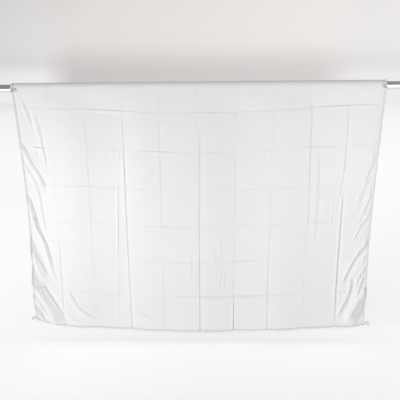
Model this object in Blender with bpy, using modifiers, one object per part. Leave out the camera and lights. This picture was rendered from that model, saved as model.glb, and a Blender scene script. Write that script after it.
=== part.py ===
"""Weighted blanket folded over a round chrome rail.

The blanket is one quilted cloth: two layers sewn together in a grid of pockets that hold a thin,
heavy filling. A narrow binding closes its four edges, and small tape loops are sewn in at the four
corners and at the middle of both long sides. It hangs over the rail with a long front drop and a
slightly shorter back drop. Its sides are drawn in, and soft drag folds slant down from them.

Metres, +Z up. The origin is the centre of the rail's left end face. The rail runs along +X, and
the front drop faces -Y.
"""
from math import cos, pi, radians, sin

import bpy
import numpy as np

# Rail
RAIL_DIAMETER = 0.032
RAIL_LENGTH = 1.80
RAIL_SIDES = 64
RAIL_EDGE_ROUND = 0.001
RAIL_SHARP_ANGLE = 40

# Blanket as it is cut and sewn, flat
CUT_WIDTH = 1.52
CUT_LENGTH = 2.03
COLUMNS = 10
ROWS = 13
POCKET_THICKNESS = 0.0056
SEAM_THICKNESS = 0.0026
BINDING_WIDTH = 0.009
BINDING_THICKNESS = 0.0046
SEWN_GAP = 0.0003

# Blanket as it hangs
SEAT_GAP = 0.0005
FRONT_PATH = 1.067
MIDDLE_SHARE = 0.9885
EDGE_LOSS = 0.019
EDGE_RISE = 0.026
RISE_START = 0.08
SIDES = {
    # side: width drawn in, depth where that ends, lift of the front corner, share of the half width
    # at which that lift starts, and how far the corner is drawn in
    -1: dict(drawn_in=0.0215, end_depth=1.15, lift=0.025, lift_from=0.70, corner_in=0.012),
    +1: dict(drawn_in=0.0220, end_depth=1.50, lift=0.008, lift_from=0.85, corner_in=0.0),
}
HEM_DROP = 0.0115
LIFT_HEIGHT = 0.30
CORNER_HEIGHT = 0.08

# Drag folds: each runs from z_top to z_foot and passes x_top, x_mid and x_foot on its way, counted
# from the middle of the blanket and from the rail's axis. The cloth stands height proud on the left
# of that line and lies as far back on its right, one reach away.
FRONT_FOLDS = [
    dict(z_top=-0.20, z_foot=-0.36, x_top=-0.724, x_mid=-0.672, x_foot=-0.616, reach=0.020, height=0.0040),
    dict(z_top=-0.46, z_foot=-0.79, x_top=-0.716, x_mid=-0.662, x_foot=-0.602, reach=0.020, height=0.0042),
    dict(z_top=-0.61, z_foot=-0.83, x_top=-0.712, x_mid=-0.674, x_foot=-0.648, reach=0.018, height=0.0055),
    dict(z_top=-0.72, z_foot=-1.02, x_top=-0.718, x_mid=-0.652, x_foot=-0.600, reach=0.024, height=0.0080),
    dict(z_top=-0.87, z_foot=-1.00, x_top=-0.552, x_mid=-0.514, x_foot=-0.448, reach=0.020, height=0.0026),
    dict(z_top=-0.29, z_foot=-0.44, x_top=0.704, x_mid=0.688, x_foot=0.670, reach=0.020, height=0.0018),
    dict(z_top=-0.50, z_foot=-0.64, x_top=0.706, x_mid=0.674, x_foot=0.644, reach=0.020, height=0.0024),
    dict(z_top=-0.63, z_foot=-0.83, x_top=0.708, x_mid=0.662, x_foot=0.612, reach=0.020, height=0.0034),
    dict(z_top=-0.84, z_foot=-1.02, x_top=0.724, x_mid=0.680, x_foot=0.628, reach=0.024, height=0.0070),
]
BACK_FOLDS = [
    dict(z_top=-0.35, z_foot=-0.72, x_top=-0.722, x_mid=-0.664, x_foot=-0.610, reach=0.026, height=0.0042),
    dict(z_top=-0.66, z_foot=-0.96, x_top=-0.720, x_mid=-0.656, x_foot=-0.596, reach=0.026, height=0.0060),
    dict(z_top=-0.42, z_foot=-0.78, x_top=0.724, x_mid=0.670, x_foot=0.616, reach=0.026, height=0.0042),
    dict(z_top=-0.70, z_foot=-0.96, x_top=0.722, x_mid=0.665, x_foot=0.602, reach=0.026, height=0.0055),
]
FOLD_FADE = 0.05
RELIEF_START = 0.02
RELIEF_FULL = 0.12
WAVES = [
    # long, shallow waves down both drops: how far apart, where the first crest is, how high
    dict(length=0.47, crest=-0.08, height=0.0030),
    dict(length=0.29, crest=0.05, height=0.0016),
]

# Mesh lines of the cloth: shares of a pocket at which they stand, its first seam included
POCKET_LINES = (0, 0.18, 0.82)
EDGE_POCKET_LINES = (0, 0.14, 0.32, 0.50, 0.68, 0.86)
BACK_POCKET_LINES = (0, 0.50)
PILLOW = 0.35
BEND_STEPS = 6
BEND_SPAN = 1.25  # of a quarter turn, each way from the rail's crest
SAME_LINE = 1e-9

# Tape loops
TAPE_THICKNESS = 0.0022
TAPE_WIDTH = 0.006
LOOP_LENGTH = 0.022
LOOP_WIDTH = 0.015
LOOP_ARC_STEPS = 10
LOOP_ROOT = 0.0066
LOOP_GAP = 0.0008
# How each loop points, in degrees from +X towards +Z: out past the hem's ends in front, down from the
# corners behind, and inwards over the rail at the middle of the sides
FRONT_TURNS = {-1: 178, +1: -4}
BACK_TURNS = {-1: -82, +1: -98}
MIDDLE_TURNS = {-1: 24, +1: 150}
MIDDLE_LOOP_DROP = 0.0107
HANDS = {-1: "left", +1: "right"}

COLOURS = {
    "cloth": (0.83, 0.80, 0.80),
    "binding": (0.78, 0.75, 0.75),
    "tape": (0.74, 0.71, 0.71),
    "chrome": (0.80, 0.80, 0.82),
}

MIDDLE_X = RAIL_LENGTH / 2
HALF_WIDTH = CUT_WIDTH / 2
POCKET_WIDTH = CUT_WIDTH / COLUMNS
POCKET_LENGTH = CUT_LENGTH / ROWS
BEND_RADIUS = RAIL_DIAMETER / 2 + SEAT_GAP + POCKET_THICKNESS / 2
BEND_PATH = BEND_RADIUS * pi / 2


def smooth_step(value):
    """Rise gently from 0 to 1 while value goes from 0 to 1."""
    value = np.clip(value, 0, 1)
    return value * value * (3 - 2 * value)


def fold_relief(fold, x, z):
    """Height of one drag fold: a bank that stands out on the left of its line and back on its right."""
    progress = (fold["z_top"] - z) / (fold["z_top"] - fold["z_foot"])
    t = np.clip(progress, 0, 1)
    bow = 4 * fold["x_mid"] - 2 * (fold["x_top"] + fold["x_foot"])
    line = fold["x_top"] + (fold["x_foot"] - fold["x_top"]) * t + bow * t * (1 - t)
    steepness = abs(fold["z_top"] - fold["z_foot"]) / np.hypot(
        fold["z_top"] - fold["z_foot"], fold["x_foot"] - fold["x_top"])
    leftward = (line - x) * steepness / fold["reach"]
    bank = leftward * np.exp(0.5 - 0.5 * leftward * leftward)
    ends = smooth_step((fold["z_top"] + FOLD_FADE - z) / FOLD_FADE) * smooth_step(
        (z - fold["z_foot"] + FOLD_FADE) / FOLD_FADE)
    return fold["height"] * bank * ends


def drape(across, along, proud=0.0):
    """Place flat cloth points over the rail: across is counted from the middle of the cloth, along
    from its front hem, and proud from the middle of its thickness to the outside. The cloth climbs
    the front, turns over the rail and falls behind it."""
    side = across / HALF_WIDTH
    path = FRONT_PATH - along
    front = path > 0
    turn = np.clip(path / BEND_RADIUS, -pi / 2, pi / 2)
    depth = np.maximum(np.abs(path) - BEND_PATH, 0)

    above_hem = FRONT_PATH - BEND_PATH - depth

    drawn_in, end_depth, lift, lift_from, corner_in = (
        np.where(side < 0, SIDES[-1][column], SIDES[+1][column]) for column in SIDES[-1])
    hollow = drawn_in * np.sin(pi * np.clip(depth / end_depth, 0, 1))
    hollow = hollow + np.where(front, corner_in * smooth_step(1 - above_hem / CORNER_HEIGHT), 0)
    x = across * (MIDDLE_SHARE - EDGE_LOSS * side ** 2) - np.sign(side) * side ** 6 * hollow

    rise = EDGE_RISE * np.sin(pi / 2 * np.abs(side)) ** 2 * smooth_step(depth / RISE_START)
    corner = np.clip((np.abs(side) - lift_from) / (1 - lift_from), 0, 1) ** 2
    lift = lift * corner * smooth_step(1 - above_hem / LIFT_HEIGHT)
    drop = HEM_DROP * smooth_step(1 - above_hem / POCKET_LENGTH)
    rise += np.where(front, lift - drop, 0)
    z = (BEND_RADIUS + proud) * np.cos(turn) - depth + rise

    relief = sum(wave["height"] * np.cos(2 * pi * (x - wave["crest"]) / wave["length"]) for wave in WAVES)
    relief += np.where(front, sum(fold_relief(fold, x, z) for fold in FRONT_FOLDS),
                       sum(fold_relief(fold, x, z) for fold in BACK_FOLDS))
    relief *= smooth_step((depth - RELIEF_START) / (RELIEF_FULL - RELIEF_START))
    y = -(BEND_RADIUS + proud) * np.sin(turn) - np.where(front, relief, -relief)
    return np.stack([MIDDLE_X + x, y, z], axis=-1)


def pocket_lines(count, size, shares):
    """Mesh lines over a row of pockets, shares(k) giving those of pocket k."""
    lines = [(k + share) * size for k in range(count) for share in shares(k)]
    return np.array(lines + [count * size])


def across_lines():
    """Lines across the quilted field, finer in the outer pockets, where the folds are."""
    lines = pocket_lines(COLUMNS, POCKET_WIDTH,
                         lambda k: EDGE_POCKET_LINES if k in (0, COLUMNS - 1) else POCKET_LINES)
    return np.clip(lines - HALF_WIDTH, BINDING_WIDTH - HALF_WIDTH, HALF_WIDTH - BINDING_WIDTH)


def along_lines():
    """Lines from the front hem to the back hem, with more where the cloth bends over the rail."""
    lines = pocket_lines(ROWS, POCKET_LENGTH,
                         lambda k: POCKET_LINES if k * POCKET_LENGTH < FRONT_PATH else BACK_POCKET_LINES)
    seams = POCKET_LENGTH * np.arange(ROWS + 1)
    bend = FRONT_PATH + BEND_SPAN * BEND_PATH * np.linspace(-1, 1, 2 * BEND_STEPS + 1)
    half_step = (bend[1] - bend[0]) / 2
    on_seam = np.min(np.abs(lines[:, None] - seams), axis=1) < half_step
    past_bend = np.abs(lines - FRONT_PATH) > bend[-1] - FRONT_PATH + half_step
    off_seams = np.min(np.abs(bend[:, None] - seams), axis=1) > half_step
    lines = np.sort(np.concatenate([lines[on_seam | past_bend], bend[off_seams]]))
    return np.clip(lines, BINDING_WIDTH, CUT_LENGTH - BINDING_WIDTH)


def crown(lines, size, start):
    """Share of the filling's height on each line: none on a seam, full in the middle of a pocket."""
    place = np.mod((lines - start) / size, 1)
    return np.sin(pi * np.where(place > 1 - SAME_LINE, 0, place)) ** PILLOW


def principled(name, roughness, metallic=0.0):
    """A plain material in one of the blanket's colours."""
    material = bpy.data.materials.new(name)
    material.use_nodes = True
    shader = material.node_tree.nodes["Principled BSDF"]
    shader.inputs["Base Color"].default_value = (*COLOURS[name], 1)
    shader.inputs["Roughness"].default_value = roughness
    shader.inputs["Metallic"].default_value = metallic
    return material


def named(obj, name, material, collection):
    """Name an object, give it its material and keep it only in the part's collection."""
    obj.name = obj.data.name = name
    obj.data.materials.append(material)
    for other in list(obj.users_collection):
        other.objects.unlink(obj)
    collection.objects.link(obj)
    return obj


def cloth_patch(name, across, along, thickness, material, collection):
    """A patch of the cloth between two sets of lines. It is made as a flat slab one unit thick, a
    grid with Solidify, and each point then moves to its place on the drape. thickness is one number,
    or a row of numbers for each line along."""
    bpy.ops.mesh.primitive_grid_add(x_subdivisions=len(across) - 1, y_subdivisions=len(along) - 1, size=2)
    grid = bpy.context.object
    slab = grid.modifiers.new("slab", "SOLIDIFY")
    slab.thickness = 1
    slab.offset = 0
    mesh = bpy.data.meshes.new_from_object(grid.evaluated_get(bpy.context.evaluated_depsgraph_get()))
    bpy.data.objects.remove(grid)

    points = np.empty(len(mesh.vertices) * 3)
    mesh.vertices.foreach_get("co", points)
    points = points.reshape(-1, 3)
    column = np.rint((points[:, 0] + 1) / 2 * (len(across) - 1)).astype(int)
    row = np.rint((points[:, 1] + 1) / 2 * (len(along) - 1)).astype(int)
    local = np.broadcast_to(thickness, (len(along), len(across)))[row, column]
    mesh.vertices.foreach_set("co", drape(across[column], along[row], points[:, 2] * local).ravel())
    mesh.shade_smooth()
    patch = bpy.data.objects.new(name, mesh)
    bpy.context.scene.collection.objects.link(patch)
    return named(patch, name, material, collection)


def quilted_cloth(material, collection):
    """The two sewn layers with their filling, as one solid that is thin along every seam."""
    across, along = across_lines(), along_lines()
    filling = np.outer(crown(along, POCKET_LENGTH, 0), crown(across, POCKET_WIDTH, -HALF_WIDTH))
    filling[[0, -1], :] = 0
    filling[:, [0, -1]] = 0
    thickness = SEAM_THICKNESS + (POCKET_THICKNESS - SEAM_THICKNESS) * filling
    return cloth_patch("quilted_cloth", across, along, thickness, material, collection)


def edge_bindings(material, collection):
    """Four binding strips: the side strips run the full length, the hem strips fit between them."""
    across, along = across_lines(), along_lines()
    full_length = np.concatenate([[0], along, [CUT_LENGTH]])
    inner = BINDING_WIDTH - SEWN_GAP
    for side, label in ((-1, "left"), (1, "right")):
        strip = np.sort(side * np.array([HALF_WIDTH, HALF_WIDTH - inner]))
        cloth_patch(f"binding_{label}", strip, full_length, BINDING_THICKNESS, material, collection)
    for start, label in ((0, "front"), (CUT_LENGTH - inner, "back")):
        strip = np.array([start, start + inner])
        cloth_patch(f"binding_{label}_hem", across, strip, BINDING_THICKNESS, material, collection)


def drop_outline(length, width, root):
    """Drop-shaped outline in XY: a round end of the given width, drawn in to root at the origin."""
    radius = width / 2
    centre = length - radius
    lean = np.arccos((radius - root / 2) / centre)
    angles = np.linspace(-pi + lean, pi - lean, LOOP_ARC_STEPS + 1)
    ring = [(centre + radius * cos(angle), radius * sin(angle)) for angle in angles]
    return [(0, -root / 2)] + ring + [(0, root / 2)]


def tape_loop(name, root, turn, material, collection):
    """A short tape bent into a drop, both ends sewn in at root. It lies in the XZ plane, and turn is
    the angle in degrees from +X towards +Z in which it points."""
    curve = bpy.data.curves.new(name, "CURVE")
    curve.dimensions = "2D"
    curve.fill_mode = "BOTH"
    curve.extrude = TAPE_WIDTH / 2
    outer = drop_outline(LOOP_LENGTH, LOOP_WIDTH, LOOP_ROOT)
    hole = drop_outline(LOOP_LENGTH - LOOP_ROOT, LOOP_WIDTH - 2 * TAPE_THICKNESS, TAPE_THICKNESS)
    hole = [(x + 2 * TAPE_THICKNESS, y) for x, y in hole]
    for outline in (outer, hole):
        spline = curve.splines.new("POLY")
        spline.points.add(len(outline) - 1)
        spline.use_cyclic_u = True
        for point, (x, y) in zip(spline.points, outline):
            point.co = (x, y, 0, 1)
    loop = bpy.data.objects.new(name, curve)
    bpy.context.scene.collection.objects.link(loop)
    named(loop, name, material, collection)
    loop.rotation_euler = (pi / 2, -radians(turn), 0)
    loop.location = root
    return loop


def corner_loops(material, collection):
    """One loop at each corner: the front ones point away from the cloth in line with the hem, and the
    back ones hang from the ends of the side bindings."""
    for side, hand in HANDS.items():
        x, y, z = drape(np.array(side * HALF_WIDTH), np.array(BINDING_WIDTH))
        tape_loop(f"loop_front_{hand}", (x + side * LOOP_GAP, y, z), FRONT_TURNS[side], material, collection)
        x, y, z = drape(np.array(side * (HALF_WIDTH - BINDING_WIDTH / 2)), np.array(CUT_LENGTH))
        tape_loop(f"loop_back_{hand}", (x, y, z - LOOP_GAP), BACK_TURNS[side], material, collection)


def middle_loops(material, collection):
    """One loop at the middle of each long side, flopped inwards over the front of the rail."""
    stand_off = BEND_RADIUS + POCKET_THICKNESS / 2 + SEWN_GAP + TAPE_WIDTH / 2
    for side, hand in HANDS.items():
        x, _, _ = drape(np.array(side * HALF_WIDTH), np.array(FRONT_PATH - BEND_PATH))
        root = (x, -stand_off, -MIDDLE_LOOP_DROP)
        tape_loop(f"loop_middle_{hand}", root, MIDDLE_TURNS[side], material, collection)


def rail(material, collection):
    """The round rail, plain and closed at both ends."""
    bpy.ops.mesh.primitive_cylinder_add(vertices=RAIL_SIDES, radius=RAIL_DIAMETER / 2, depth=RAIL_LENGTH,
                                        location=(MIDDLE_X, 0, 0), rotation=(0, pi / 2, 0))
    tube = named(bpy.context.object, "rail", material, collection)
    edge = tube.modifiers.new("edge", "BEVEL")
    edge.width = RAIL_EDGE_ROUND
    edge.segments = 2
    edge.limit_method = "ANGLE"
    edge.angle_limit = radians(RAIL_SHARP_ANGLE)
    tube.data.shade_smooth()
    tube.data.set_sharp_from_angle(angle=radians(RAIL_SHARP_ANGLE))
    return tube


for old in list(bpy.data.objects):
    bpy.data.objects.remove(old)
blanket = bpy.data.collections.new("weighted_blanket_on_rail")
bpy.context.scene.collection.children.link(blanket)

quilted_cloth(principled("cloth", roughness=0.62), blanket)
edge_bindings(principled("binding", roughness=0.7), blanket)
tape = principled("tape", roughness=0.75)
corner_loops(tape, blanket)
middle_loops(tape, blanket)
rail(principled("chrome", roughness=0.12, metallic=1.0), blanket)
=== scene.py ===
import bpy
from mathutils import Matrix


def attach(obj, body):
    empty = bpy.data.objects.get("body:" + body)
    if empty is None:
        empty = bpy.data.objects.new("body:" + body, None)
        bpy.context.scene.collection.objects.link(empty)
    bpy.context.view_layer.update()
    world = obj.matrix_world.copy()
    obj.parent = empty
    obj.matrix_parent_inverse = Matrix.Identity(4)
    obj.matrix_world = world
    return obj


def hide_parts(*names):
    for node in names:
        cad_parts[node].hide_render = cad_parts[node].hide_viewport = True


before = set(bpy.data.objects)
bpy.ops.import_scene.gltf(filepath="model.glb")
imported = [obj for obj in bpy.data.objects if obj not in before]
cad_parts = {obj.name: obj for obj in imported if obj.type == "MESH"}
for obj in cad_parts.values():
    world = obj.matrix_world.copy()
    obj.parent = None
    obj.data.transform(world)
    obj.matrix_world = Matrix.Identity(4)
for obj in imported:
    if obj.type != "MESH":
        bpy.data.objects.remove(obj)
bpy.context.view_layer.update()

from math import pi, radians

import bpy
import numpy as np
from mathutils import Matrix, Vector

# Quilted cloth. Two layers of pale satin cotton, sewn together in a grid of pockets that hold a
# thin, heavy filling. The one cloth is laid over the rail with its long drop in front. Its sides
# are drawn in by the weight, and soft drag folds slant down from them towards the middle.

CUT_WIDTH, CUT_LENGTH = 1.52, 2.03
COLUMNS, ROWS = 10, 13
POCKET_WIDTH, POCKET_LENGTH = CUT_WIDTH / COLUMNS, CUT_LENGTH / ROWS
HALF_WIDTH = CUT_WIDTH / 2
POCKET_HALF_THICKNESS = 0.0028
SEAM_HALF_THICKNESS = 0.0010
BINDING_WIDTH = 0.009
CLOTH_INSET, LIP_SLOPE = 0.0016, 0.014
QUILT_COLOUR, FADED_COLOUR = (0.801, 0.788, 0.797, 1), (0.770, 0.748, 0.756, 1)
# The grey painted along the seams as shade in their gutters
SEAM_SHADE_COLOUR = (0.56, 0.54, 0.55, 1)
PUCKER_REACH, DRAG_REACH = 0.022, 0.12

MIDDLE_X = 0.9
BEND_RADIUS = 0.0193
BEND_PATH = BEND_RADIUS * pi / 2
FRONT_PATH = 1.067
MIDDLE_SHARE, EDGE_LOSS = 0.9885, 0.019
EDGE_RISE, RISE_START = 0.026, 0.08
HEM_DROP = 0.0115
LIFT_HEIGHT, CORNER_HEIGHT = 0.30, 0.08
SIDES = {
    -1: dict(drawn_in=0.0215, end_depth=1.15, lift=0.025, lift_from=0.70, corner_in=0.012),
    +1: dict(drawn_in=0.0220, end_depth=1.50, lift=0.008, lift_from=0.85, corner_in=0.0),
}
WAVES = [dict(length=0.47, crest=-0.08, height=0.0030), dict(length=0.29, crest=0.05, height=0.0016)]
RELIEF_START, RELIEF_FULL = 0.02, 0.12

# Each crease is a line of (x, z) points, from the middle of the blanket and the rail's axis. On the
# left half the cloth lies back in a narrow groove along the line and swells out beyond it, reach
# away on its outer side. On the right half it stands up along the line and lies back beyond it.
# edge is half the width of the groove or ridge. A banked crease has a broad flat face between the two.
CREASES = {
    # line, reach, edge, height, banked
    "front": [
        # left side, from the rail down
        ([(-.697, -.002), (-.692, -.035), (-.684, -.075)], .007, .003, .0014),
        ([(-.689, -.044), (-.680, -.071), (-.668, -.109), (-.660, -.150)], .010, .0035, .0024),
        ([(-.645, -.095), (-.636, -.142), (-.629, -.178), (-.622, -.220), (-.612, -.290), (-.615, -.330)],
         .010, .0035, .0026),
        ([(-.712, -.200), (-.704, -.226), (-.686, -.262), (-.662, -.311), (-.637, -.355), (-.622, -.391),
          (-.629, -.435)], .014, .0035, .0042),
        ([(-.710, -.285), (-.704, -.304), (-.672, -.347), (-.655, -.398), (-.648, -.449), (-.645, -.514),
          (-.631, -.602)], .010, .0035, .0024),
        ([(-.706, -.410), (-.698, -.435), (-.684, -.479), (-.669, -.569), (-.645, -.630), (-.625, -.700),
          (-.618, -.763), (-.598, -.790)], .015, .0035, .0054),
        ([(-.705, -.500), (-.690, -.522), (-.672, -.540)], .006, .003, .0018),
        ([(-.706, -.590), (-.703, -.607), (-.686, -.669), (-.664, -.724), (-.650, -.779), (-.635, -.827)],
         .032, .0032, .0096, True),
        ([(-.711, -.700), (-.697, -.750), (-.668, -.825), (-.635, -.882), (-.608, -.930), (-.586, -.985),
          (-.574, -1.045)], .044, .0032, .0135, True),
        ([(-.716, -.845), (-.700, -.872), (-.677, -.912), (-.650, -.945), (-.625, -.975)],
         .024, .0032, .0084, True),
        ([(-.712, -.920), (-.700, -.945), (-.686, -.972), (-.672, -.998)], .012, .0032, .0052),
        ([(-.655, -.962), (-.640, -.982), (-.622, -1.000)], .008, .003, .0026),
        ([(-.556, -.850), (-.545, -.880), (-.520, -.930), (-.484, -.962), (-.442, -.985)],
         .011, .003, .0036),
        ([(-.582, -.955), (-.545, -.982), (-.508, -1.006)], .009, .0035, .0028),
        ([(-.700, -.470), (-.688, -.505), (-.679, -.560), (-.662, -.610)], .006, .0028, .0016),
        ([(-.655, -.235), (-.648, -.300), (-.634, -.345)], .006, .0028, .0014),
        ([(-.664, -.227), (-.645, -.230), (-.622, -.228)], .006, .0028, .0022),
        ([(-.712, -.518), (-.697, -.525), (-.672, -.536)], .006, .0028, .0024),
        ([(-.712, -.832), (-.681, -.838), (-.640, -.843)], .006, .0028, .0026),
        ([(-.690, -.905), (-.668, -.950), (-.640, -.990)], .006, .0028, .0020),
        ([(-.648, -.640), (-.628, -.740), (-.605, -.830)], .007, .0028, .0016),
        # right side, from the rail down
        ([(.591, -.078), (.591, -.198), (.589, -.342), (.564, -.512), (.551, -.585)], .008, .003, .0015),
        ([(.704, -.250), (.697, -.298), (.673, -.400), (.654, -.464), (.649, -.512)], .014, .007, .0021),
        ([(.707, -.415), (.692, -.470), (.674, -.512), (.660, -.560)], .010, .005, .0023),
        ([(.702, -.510), (.690, -.540), (.669, -.562), (.642, -.628)], .011, .0045, .0038),
        ([(.704, -.610), (.690, -.655), (.654, -.700), (.619, -.782), (.606, -.833)], .016, .006, .0066),
        ([(.646, -.790), (.643, -.850), (.630, -.900), (.612, -.940), (.592, -.980)], .015, .006, .0062),
        ([(.703, -.745), (.690, -.768), (.672, -.797), (.668, -.835)], .010, .004, .0042),
        ([(.700, -.790), (.688, -.812), (.680, -.862), (.666, -.895)], .010, .004, .0050),
        ([(.708, -.830), (.703, -.848), (.685, -.880), (.664, -.920), (.646, -.960), (.626, -1.004)],
         .056, .004, .0185, True),
        ([(.556, -.945), (.545, -.970), (.530, -.998)], .006, .003, .0022),
        ([(.634, -.843), (.671, -.836), (.706, -.840)], .006, .0028, .0024),
        ([(.690, -.330), (.684, -.352), (.668, -.378)], .006, .0028, .0034),
        ([(.700, -.452), (.686, -.476), (.676, -.500)], .006, .0028, .0036),
        # soft folds of the field
        ([(.478, -.249), (.485, -.411), (.484, -.559), (.477, -.668)], .012, .005, .0018),
        ([(.446, -.865), (.442, -.915)], .006, .003, .0010),
        ([(-.060, -.887), (.060, -.892), (.170, -.891), (.290, -.883)], .012, .005, .0024),
        # seams that show as a line: the cloth on one side of them stands a little proud
        ([(-.586, -.640), (-.587, -.760), (-.589, -.870), (-.592, -.990)], .006, .0025, .0012),
        ([(-.443, -.080), (-.444, -.400), (-.445, -.700), (-.446, -1.00)], .009, .003, .0003),
        ([(-.296, -.090), (-.296, -.250), (-.296, -.420)], .006, .0025, .0008),
        ([(-.296, -.210), (-.296, -.500), (-.294, -.900), (-.292, -1.30)], .007, .0025, .0016),
        ([(-.149, -.100), (-.149, -.450), (-.149, -.800), (-.149, -1.20)], .008, .003, .0003),
        ([(.004, -.100), (.003, -.400), (.001, -.700), (.001, -1.35)], .006, .0022, .0025),
        ([(.150, -.260), (.150, -.400), (.149, -.550)], .006, .0025, .0015),
        ([(.149, -.600), (.148, -.780), (.148, -.920)], .006, .0025, .0005),
        ([(.148, -.870), (.148, -.980), (.148, -1.25)], .006, .0025, .0027),
        ([(.292, -.630), (.291, -.850), (.292, -1.20)], .008, .003, .0014),
        ([(.447, -.050), (.448, -.290), (.450, -.500), (.452, -.670)], .009, .0035, .0016),
        ([(.588, -.400), (.586, -.600), (.583, -.750), (.584, -.900), (.586, -1.03)], .008, .0025, .0034),
    ],
    "back": [
        ([(-.715, -.330), (-.690, -.450), (-.655, -.550), (-.625, -.650), (-.600, -.730)],
         .020, .007, .0046),
        ([(-.714, -.560), (-.692, -.640), (-.668, -.700), (-.650, -.770)], .016, .007, .0030),
        ([(-.714, -.660), (-.690, -.740), (-.645, -.820), (-.605, -.900), (-.585, -.965)],
         .024, .007, .0066),
        ([(.716, -.400), (.695, -.500), (.660, -.600), (.628, -.690), (.606, -.790)], .020, .007, .0046),
        ([(.714, -.700), (.692, -.770), (.655, -.850), (.615, -.910), (.592, -.965)], .022, .007, .0060),
        ([(-.240, -.300), (-.246, -.500), (-.236, -.800)], .018, .009, .0016),
        ([(.330, -.250), (.338, -.500), (.330, -.850)], .018, .009, .0016),
    ],
}
CREASE_STATIONS, SMOOTHINGS, CREASE_MARGIN = 25, 6, 0.07
HEM_SCALLOP, SCALLOP_HEIGHT = 0.0032, 0.07

# How deep each seam is drawn in, 1 for a full gutter. Column seams are counted from the left, and
# their places run down the front from the rail. Row seams are counted from the front hem, and their
# places run across from the middle. All others keep the even depth.
EVEN_DEPTH = 0.65
COLUMN_DEPTHS = {
    1: [(.00, .3), (.60, .4), (.75, .8), (1.06, .7)],
    2: [(.00, .2), (.07, .5), (.16, .6), (.25, .55), (1.06, .5)],
    3: [(.00, .2), (.07, .7), (.25, .8), (1.06, .9)],
    4: [(.00, .4), (.07, .4), (.13, .8), (.40, .8), (.52, .6), (.65, .7), (.78, .4), (.95, .4), (1.06, .8)],
    5: [(.00, .0), (.11, .2), (.14, 1.), (1.06, 1.1)],
    6: [(.00, .2), (.06, .5), (.12, .2), (.25, .4), (.30, .9), (.50, .8), (.56, .1), (.62, .1), (.68, .5),
        (.90, .4), (.96, 1.1)],
    7: [(.00, .3), (.60, .3), (.66, .7), (1.06, .8)],
    8: [(.00, .4), (.06, .6), (.65, .7), (.75, .3), (1.06, .3)],
    9: [(.00, .4), (.12, .6), (.50, .6), (.56, 1.), (1.06, 1.1)],
}
ROW_DEPTHS = {
    1: [(-.7, .6), (-.5, .5), (-.42, .8), (-.3, .5), (-.15, 1.), (.02, 1.), (.30, 1.2), (.36, .6), (.7, .7)],
    2: [(-.7, .3), (-.5, .5), (-.3, .3), (-.16, .3), (-.14, 1.), (.03, 1.), (.06, .4), (.1, 1.), (.29, 1.1),
        (.33, .7), (.56, .7), (.6, .3)],
    3: [(-.7, .4), (-.25, .3), (-.2, 1.), (-.02, 1.), (.02, .3), (.36, .3), (.4, .8), (.54, .8), (.6, .3)],
    4: [(-.7, .6), (-.58, .5), (-.54, .9), (-.34, .9), (-.3, .5), (0., .6), (.14, .8), (.22, .8), (.26, .5),
        (.38, .6), (.42, 1.), (.54, 1.), (.58, .4)],
    5: [(-.74, .7), (-.64, .7), (-.58, .6), (-.34, .6), (-.28, 1.), (-.09, 1.), (.2, .7), (.25, .3),
        (.4, .3), (.46, .9), (.58, .9), (.64, .6), (.74, .6)],
    6: [(-.74, .5), (-.6, 1.), (.74, 1.1)],
}

# Fine wrinkles, and the stretches of seam that show as a crisp line. Each is a straight line in flat
# cloth, with places counted from the left side and the front hem. The cloth stands up on the left of
# the line's direction, by height.
FINE_WRINKLES = [
    # start, end, height
    ((.411, .303), (.425, .646), .0027), ((.399, .030), (.411, .303), .0013),
    ((.410, .740), (.418, .790), .0012), ((.434, .738), (.438, .783), .0012),
    ((.862, .324), (.849, .414), .0018), ((.846, .183), (.861, .290), .0014),
    ((.868, .159), (.872, .278), .0015), ((.831, .319), (.833, .359), .0011),
    ((.718, .216), (.733, .356), .0012), ((.671, .154), (.668, .219), .0010),
    ((.563, .049), (.472, .086), .0023),
    # left side folds
    ((.150, .042), (.047, .183), .0032), ((.101, .194), (.016, .341), .0028),
    ((.100, .342), (.017, .491), .0030), ((.087, .688), (.026, .782), .0024),
    ((.151, .222), (.117, .286), .0020), ((.116, .797), (.099, .917), .0018),
    ((.093, .592), (.075, .658), .0018), ((.042, .038), (.019, .082), .0024),
    # right side folds
    ((1.400, .207), (1.484, .377), .0022), ((1.380, .055), (1.429, .157), .0024),
    ((1.465, .157), (1.491, .245), .0016), ((1.431, .382), (1.472, .458), .0018),
    ((1.435, .526), (1.453, .608), .0014), ((1.477, .615), (1.494, .652), .0017),
    ((1.469, .477), (1.492, .522), .0017), ((1.327, .439), (1.333, .597), .0012),
    ((1.438, .050), (1.485, .139), .0024),
    # row seams
    ((.551, .937), (.254, .937), .0028), ((.875, .937), (.716, .937), .0018),
    ((1.490, .937), (1.220, .937), .0032), ((.669, .781), (.509, .781), .0017),
    ((1.312, .781), (1.165, .781), .0019), ((.355, .625), (.245, .625), .0017),
    ((.637, .468), (.578, .468), .0019), ((1.041, .312), (.864, .312), .0019),
    ((.710, .312), (.624, .312), .0015),
]
WRINKLE_EDGE, WRINKLE_REACH = 0.003, 0.012

# Mesh lines: their places beside each seam, the first one past those, and the spacing from there on,
# across for each pocket from the left and along for each from the front hem
BESIDE_SEAM, FIELD_START = [0, .0015, .0035, .0065], 0.011
ACROSS_STEPS = [.0042, .0062] + [.012] * 6 + [.0062, .0042]
ALONG_STEPS = [.0050, .0050, .0055, .0065, .0070, .0080, .0045] + [.0140] * 6


def smooth_step(value):
    """Rise gently from 0 to 1 while value goes from 0 to 1: v * v * (3 - 2 v)."""
    value = np.clip(value, 0, 1)
    return value * value * (3 - 2 * value)


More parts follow.
